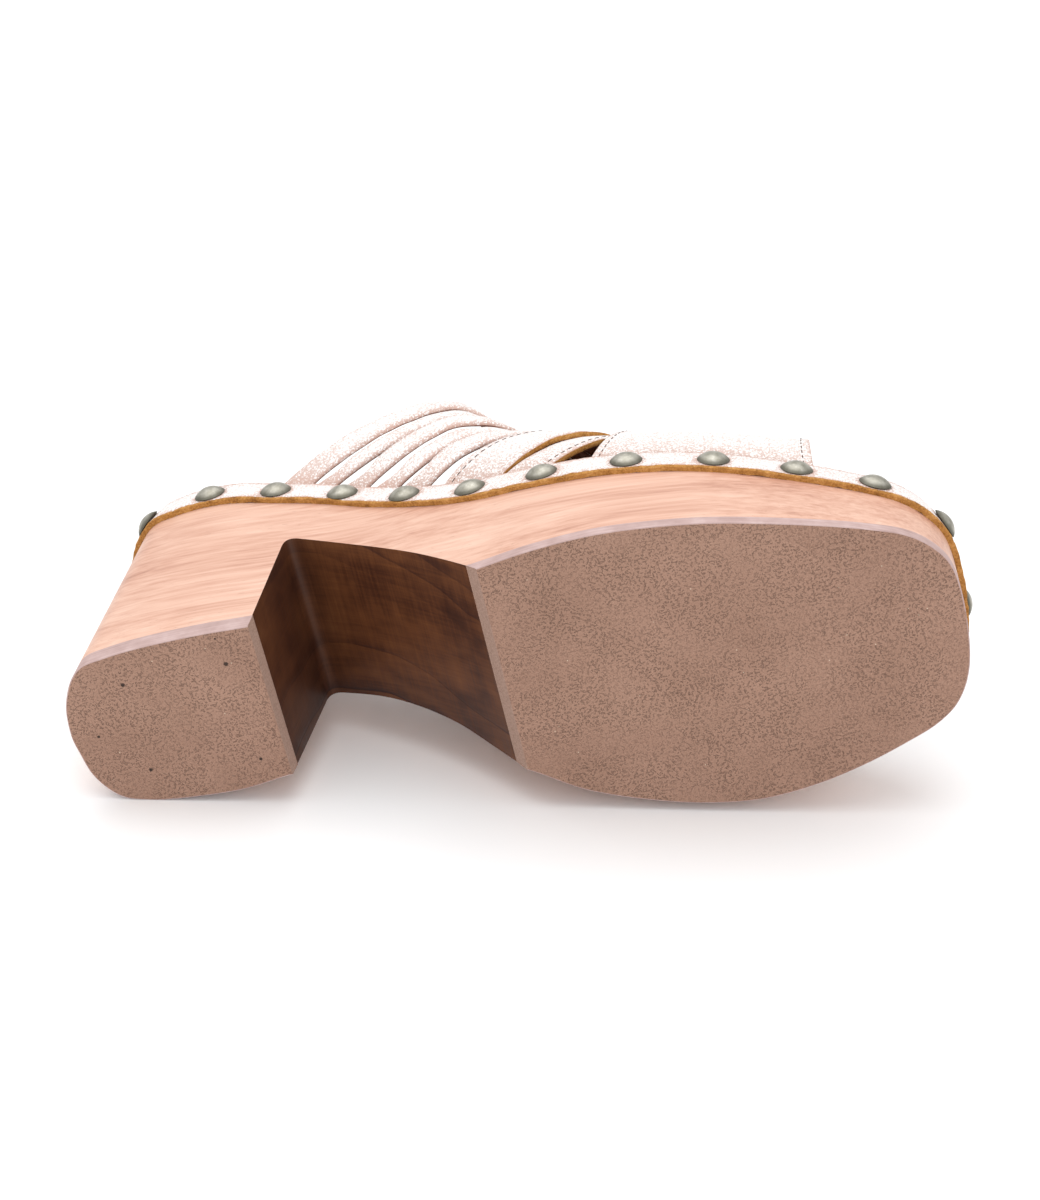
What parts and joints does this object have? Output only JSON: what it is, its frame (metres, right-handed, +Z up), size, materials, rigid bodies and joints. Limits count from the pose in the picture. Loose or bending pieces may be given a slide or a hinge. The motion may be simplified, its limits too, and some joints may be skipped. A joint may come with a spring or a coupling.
{
  "type": "platform sandal",
  "caption": "Right-foot platform mule sandal with a wooden platform and block heel, studded leather band and swept multi-strap upper, lying on its inner side.",
  "frame": {"origin": "middle of the box's underside, on the floor that the shoe lies on", "axes": "+X towards the toe along the floor, +Y from the tread towards the straps, +Z up from the shoe's inner side to its outer side"},
  "size_m": [0.2522, 0.1104, 0.0982],
  "materials": {
    "wood": "satin lacquer on pale salmon wood, stained dark brown under the arch",
    "tread_rubber": "matt crumb rubber",
    "sock_leather": "smooth brown leather",
    "upper_leather": "white distressed leather with raw brown edges",
    "stud_metal": "aged pewter, satin"
  },
  "bodies": {
    "root": {"sole_wood": "wood", "outsole_forefoot": "tread_rubber", "outsole_heel": "tread_rubber", "insole": "sock_leather", "upper": "upper_leather", "rand_band": "upper_leather", "stud_01": "stud_metal", "stud_02": "stud_metal", "stud_03": "stud_metal", "stud_04": "stud_metal", "stud_05": "stud_metal", "stud_06": "stud_metal", "stud_07": "stud_metal", "stud_08": "stud_metal", "stud_09": "stud_metal", "stud_10": "stud_metal", "stud_11": "stud_metal", "stud_12": "stud_metal", "stud_13": "stud_metal", "stud_14": "stud_metal", "stud_15": "stud_metal", "stud_16": "stud_metal", "stud_17": "stud_metal", "stud_18": "stud_metal", "stud_19": "stud_metal", "stud_20": "stud_metal", "stud_21": "stud_metal", "stud_22": "stud_metal", "stud_23": "stud_metal", "stud_24": "stud_metal", "stud_25": "stud_metal", "stud_26": "stud_metal"}
  },
  "joints": []
}
